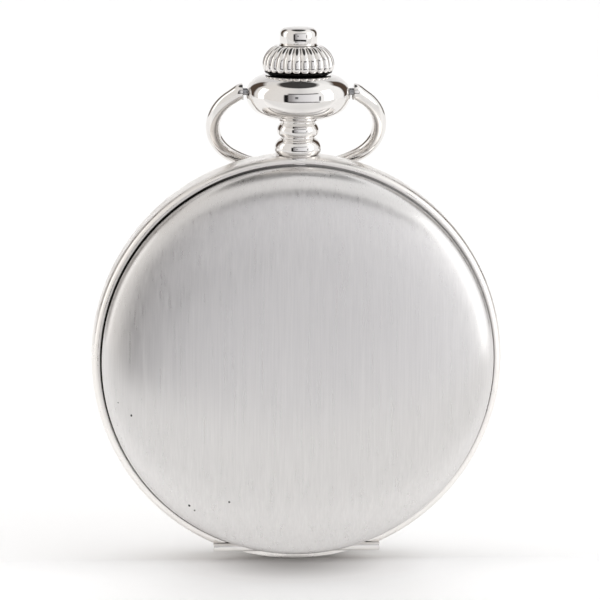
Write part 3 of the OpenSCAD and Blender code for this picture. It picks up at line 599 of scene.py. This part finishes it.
# a solid seat for the knuckles fills the channel behind the hinge
SEAT_FROM, SEAT_SPAN = 230, 80  # degrees
SEAT_STEPS = 24
SEAT_SECTION = ((20.15, -1.95), (21.95, -1.95), (21.95, 1.99), (20.15, 2.49))
bm = bmesh.new()
rows = []
for k in range(SEAT_STEPS + 1):
    a = math.radians(SEAT_FROM + SEAT_SPAN * k / SEAT_STEPS)
    rows.append([bm.verts.new(flat(r * math.cos(a), r * math.sin(a), z)) for r, z in SEAT_SECTION])
for last, now in zip(rows, rows[1:]):
    for i in range(4):
        bm.faces.new((last[i], last[(i + 1) % 4], now[(i + 1) % 4], now[i]))
bm.faces.new(rows[0])
bm.faces.new(list(reversed(rows[-1])))
seat = add_object("band_hinge_seat", bm, M_CHROME, "case")
cut(seat, hinge_block(), hinge_middle())
for s, name in ((1, "right"), (-1, "left")):
    barrel = hinge_rod(s * (KNUCKLE_MID + KNUCKLE_GAP), s * KNUCKLE_END, KNUCKLE_R, 48, 0.08)
    add_object("band_knuckle_" + name, barrel, M_CHROME, "case")

# ---------------------------------------------------------------- back cover

outer = curve_through([
    (20.95, 3.1, 1), (20.95, 2.5, 1), (23.15, 2.5, 1), (23.3, 2.65, 1), (23.3, 3.1), (23.2, 3.55),
    (22.95, 3.95), (22.5, 4.3), (21.3, 4.87), (20.0, 5.45), (18.2, 6.2), (17.0, 6.68), (15.8, 6.98),
    (15.0, 7.0, 1), (0, 7.0, 1)], 3)
inner = [(0, 6.4), (15.9, 6.4), (16.9, 6.1), (18.1, 5.6), (19.8, 4.88), (22.1, 3.85), (22.5, 3.5),
         (22.6, 3.1)]
back = turned(outer + inner, lambda x, y, z: flat(x, y, -z), 256)
add_object("back_shell", back, M_BACK, "case", ("back_cover",))

# ---------------------------------------------------------------- dial printing

ROMAN = ["XII", "I", "II", "III", "IIII", "V", "VI", "VII", "VIII", "IX", "X", "XI"]
SUBDIAL_Y = -9
HOUR_RING, HOUR_SIZE = 12.6, 3.6
SECONDS_RING, SECONDS_SIZE = 2.9, 1.0
TICK_RINGS = ((17.5, 17.95, 0, 1.0), (3.5, 3.85, SUBDIAL_Y, 0.6))  # inner and outer radius, centre, width


def print_text(name, body, x, y, size):
    cu = bpy.data.curves.new(name, "FONT")
    cu.body = body
    cu.size = size * MM
    cu.align_x = "CENTER"
    cu.align_y = "CENTER"
    cu.extrude = 0.01 * MM
    cu.resolution_u = 4
    cu.materials.append(M_PRINT)
    ob = bpy.data.objects.new(name, cu)
    bpy.context.scene.collection.objects.link(ob)
    facing = Matrix.Rotation(math.radians(90), 4, "X")
    ob.matrix_world = Matrix.Translation(flat(x, y, DIAL_FACE + 0.012)) @ facing
    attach(ob, "case")


for i, word in enumerate(ROMAN):
    if word == "VI":
        continue  # the seconds dial takes its place
    a = math.radians(90 - 30 * i)
    print_text(f"dial_hour_{i}", word, HOUR_RING * math.cos(a), HOUR_RING * math.sin(a), HOUR_SIZE)
for i, word in enumerate(["60", "15", "30", "45"]):
    a = math.radians(90 - 90 * i)
    x, y = SECONDS_RING * math.cos(a), SUBDIAL_Y + SECONDS_RING * math.sin(a)
    print_text(f"dial_seconds_{i}", word, x, y, SECONDS_SIZE)
bm = bmesh.new()
for i in range(60):
    a = math.radians(6 * i)
    d = Vector((math.cos(a), math.sin(a)))
    n = Vector((-d.y, d.x))
    width = 0.16 if i % 5 == 0 else 0.08
    for r0, r1, cy, scale in TICK_RINGS:
        half = width * scale / 2
        corners = ((r0, -half), (r1, -half), (r1, half), (r0, half))
        q = [bm.verts.new(flat(d.x * r + n.x * w, cy + d.y * r + n.y * w, DIAL_FACE + z))
             for z in (0.002, 0.02) for r, w in corners]
        for f in ((3, 2, 1, 0), (4, 5, 6, 7), (0, 1, 5, 4), (1, 2, 6, 5), (2, 3, 7, 6), (3, 0, 4, 7)):
            bm.faces.new([q[k] for k in f])
add_object("dial_ticks", bm, M_PRINT, "case", ())

# ---------------------------------------------------------------- stage
# White paper, in metres. It rolls off just in front of the watch, so that the open cover hangs clear of it.

PAPER_FRONT, PAPER_EDGE, PAPER_DROP = -0.115, -0.0086, 0.0033
PAPER_VALUE, PAPER_GLOW = 0.92, 0.035


def soft_white(name, value, glow):
    m, nt, b = new_material(name)
    y = object_axis(nt, "Y")
    # it is a little darker out of view in front, where only the cover mirrors it
    depth = ramp(nt, to_range(nt, y, 0, 1, -0.17, 0.03), [
        (0.0, grey(value * 0.94)), (0.5, grey(value * 0.86)), (0.64, grey(value * 0.85)),
        (0.72, grey(value))])
    mottle = ramp(nt, noise(nt, mapped(nt, (60, 60, 60)), 3.0, 0.5), [(0.3, grey(0.995)), (0.7, grey(1.0))])
    # and a painted contact shadow greys its colour and its glow in a small oval where the watch stands
    wide, deep = 0.016, 0.0032  # its half-lengths
    oval = nt.nodes.new("ShaderNodeTexGradient")
    oval.gradient_type = "SPHERICAL"
    place = mapped(nt, (1 / wide, 1 / deep, 0), shift=(0, -PAPER_EDGE / deep, 0))
    nt.links.new(place, oval.inputs["Vector"])
    contact_shadow = ramp(nt, oval.outputs["Fac"], [
        (0.0, (1, 1, 1)), (0.35, (0.9, 0.89, 0.885)), (0.8, (0.6, 0.585, 0.575)), (1.0, (0.5, 0.485, 0.475))])
    tone = mix(nt, 1.0, mix(nt, 1.0, depth, mottle, "MULTIPLY"), contact_shadow, "MULTIPLY")
    nt.links.new(tone, b.inputs["Base Color"])
    nt.links.new(contact_shadow, b.inputs["Emission Color"])
    # the rolled edge faces away from the top light, so it gets a little light of its own
    lit = ramp(nt, to_range(nt, y, 0, 1, -0.03, 0.0), [
        (0.0, grey(glow)), (0.35, grey(glow + 0.05)), (0.66, grey(glow + 0.10)), (0.74, grey(glow))])
    nt.links.new(lit, b.inputs["Emission Strength"])
    b.inputs["Roughness"].default_value = 0.9
    b.inputs["Specular IOR Level"].default_value = 0.1
    return m


section = [(PAPER_FRONT, -PAPER_DROP), (-0.03, -PAPER_DROP)]
for s in (14, 11, 9, 7, 5.5, 4.3, 3.3, 2.5, 1.8, 1.2, 0.7, 0.3):
    section.append((PAPER_EDGE - s * MM, -PAPER_DROP * (1 - math.exp(-0.4 * s))))
section += [(PAPER_EDGE, 0.0), (PAPER_EDGE + MM, 0.0), (0.02, 0.0)] + arc(0.5, 0.35, 0.35, -90, 0, 15)
section += [(0.85, 1.6)]
bm = bmesh.new()
rows = [[bm.verts.new((x, y, FLOOR_Z + z)) for x in (-0.5, -0.2, 0.2, 0.5)] for y, z in section]
for a, b in zip(rows, rows[1:]):
    for i in range(3):
        bm.faces.new((a[i], a[i + 1], b[i + 1], b[i]))
paper = mesh_object("studio_sweep", bm)
for p in paper.data.polygons:
    p.use_smooth = True
paper.data.materials.append(soft_white("studio_paper", PAPER_VALUE, PAPER_GLOW))

# ---------------------------------------------------------------- lights


def softbox(name, where, target, size, watts):
    li = bpy.data.lights.new(name, "AREA")
    li.shape = "RECTANGLE"
    li.size, li.size_y = size
    li.energy = watts
    ob = bpy.data.objects.new(name, li)
    bpy.context.scene.collection.objects.link(ob)
    ob.location = where
    ob.rotation_euler = (Vector(target) - Vector(where)).to_track_quat("-Z", "Y").to_euler()
    return ob


softbox("top_box", (0.0, 0.12, 0.75), (0, 0.05, 0), (0.9, 0.6), 3.2).visible_glossy = False
softbox("right_box", (0.62, -0.25, 0.18), (0, 0, 0), (0.3, 0.6), 0.7)
softbox("left_box", (-0.7, 0.05, 0.2), (0, 0, 0), (0.25, 0.6), 0.35)

# ---------------------------------------------------------------- surroundings
# A white tent, brighter to the right, with an opening in front: a pale window in a dark frame.
# Azimuth is 0 in front and positive to the right. Both angles are in degrees.

# Heights are counted from TIP degrees below the horizon, as the camera looks down a little.
TIP = 5.5

world = bpy.data.worlds.new("studio")
bpy.context.scene.world = world
world.use_nodes = True
nt = world.node_tree
nt.nodes.clear()
out = nt.nodes.new("ShaderNodeOutputWorld")
bg = nt.nodes.new("ShaderNodeBackground")
nt.links.new(bg.outputs[0], out.inputs[0])
tc = nt.nodes.new("ShaderNodeTexCoord")
sep = nt.nodes.new("ShaderNodeSeparateXYZ")
nt.links.new(tc.outputs["Generated"], sep.inputs[0])


def band_mask(value, lo, hi, soft):
    """One inside lo..hi and zero outside, with soft edges."""
    up = to_range(nt, value, 0, 1, lo - soft, lo + soft)
    fall = to_range(nt, value, 1, 0, hi - soft, hi + soft)
    return math_node(nt, "MULTIPLY", up, fall)


def patch(azimuths, heights):
    """A mask over azimuths and heights, each given as lowest, highest, softness."""
    return math_node(nt, "MULTIPLY", band_mask(azimuth, *azimuths), band_mask(height, *heights))


def either(*masks):
    out = masks[0]
    for m in masks[1:]:
        out = math_node(nt, "MAXIMUM", out, m)
    return out


deg = 180 / math.pi
toward_front = math_node(nt, "MULTIPLY", sep.outputs["Y"], -1.0)
azimuth = math_node(nt, "MULTIPLY", math_node(nt, "ARCTAN2", sep.outputs["X"], toward_front), deg)
height = math_node(nt, "MULTIPLY", math_node(nt, "ARCSINE", sep.outputs["Z"], 0.0), deg)
height = math_node(nt, "ADD", height, TIP)
tent = ramp(nt, to_range(nt, azimuth, 0, 1, -180, 180), [
    (0.0, grey(0.8)), (0.25, (0.86, 0.83, 0.80)), (0.38, (0.88, 0.86, 0.84)), (0.5, (0.80, 0.79, 0.79)),
    (0.65, grey(1.1)), (0.80, grey(1.1)), (1.0, grey(0.8))])
window = ramp(nt, to_range(nt, azimuth, 0, 1, -30, 50), [
    (0.0, (0.29, 0.28, 0.285)), (0.13, (0.37, 0.36, 0.37)), (0.3, (0.73, 0.725, 0.745)),
    (0.6, (0.90, 0.895, 0.92)), (1.0, (1.12, 1.12, 1.14))])
opening = patch((-28, 46, 2), (-60, 30.5, 2))
top_bar = patch((-28, 44, 3), (29.0, 34.5, 1))
left_bar = patch((-36, -26, 1.5), (-16, 24, 3))
right_bar = patch((43, 47, 1), (-4, 10, 2))
low_bar = patch((-32, 46, 2), (-17, -10, 1))
ceiling = math_node(nt, "MULTIPLY", band_mask(height, 70, 120, 3), 0.95)
right_rear = patch((118, 148, 3), (-40, 50, 4))
left_rear = patch((-148, -118, 3), (-40, 50, 4))
camera_spot = patch((-11, -4, 1), (1, 7, 1))
sky = mix(nt, opening, tent, window)
sky = mix(nt, either(top_bar, left_bar, right_bar, low_bar, ceiling), sky, (0.015, 0.014, 0.014))
sky = mix(nt, either(right_rear, left_rear), sky, (0.09, 0.065, 0.05))
sky = mix(nt, camera_spot, sky, (0.02, 0.02, 0.025))
nt.links.new(sky, bg.inputs[0])
bg.inputs[1].default_value = 1.0

# ---------------------------------------------------------------- camera

AZIMUTH, ELEVATION, ROLL = math.radians(-4.5), math.radians(10), math.radians(0.43)
DISTANCE = 420 * MM
aim = Vector((0, MID_Y - 3 * MM, 0))
toward_camera = Vector((math.sin(AZIMUTH) * math.cos(ELEVATION), -math.cos(AZIMUTH) * math.cos(ELEVATION),
                        math.sin(ELEVATION)))
cam = bpy.data.cameras.new("camera")
cam.sensor_width = 36
cam.lens = 220.75
cam.shift_x = 0.003
cam.shift_y = 0.1027
cam.clip_start = 0.01
cam.clip_end = 20
camera = bpy.data.objects.new("camera", cam)
bpy.context.scene.collection.objects.link(camera)
camera.location = aim + toward_camera * DISTANCE
facing = (-toward_camera).to_track_quat("-Z", "Y")
camera.rotation_euler = (facing @ Quaternion((0, 0, 1), ROLL)).to_euler()
bpy.context.scene.camera = camera
bpy.context.scene.view_settings.view_transform = "Standard"
bpy.context.scene.view_settings.look = "None"
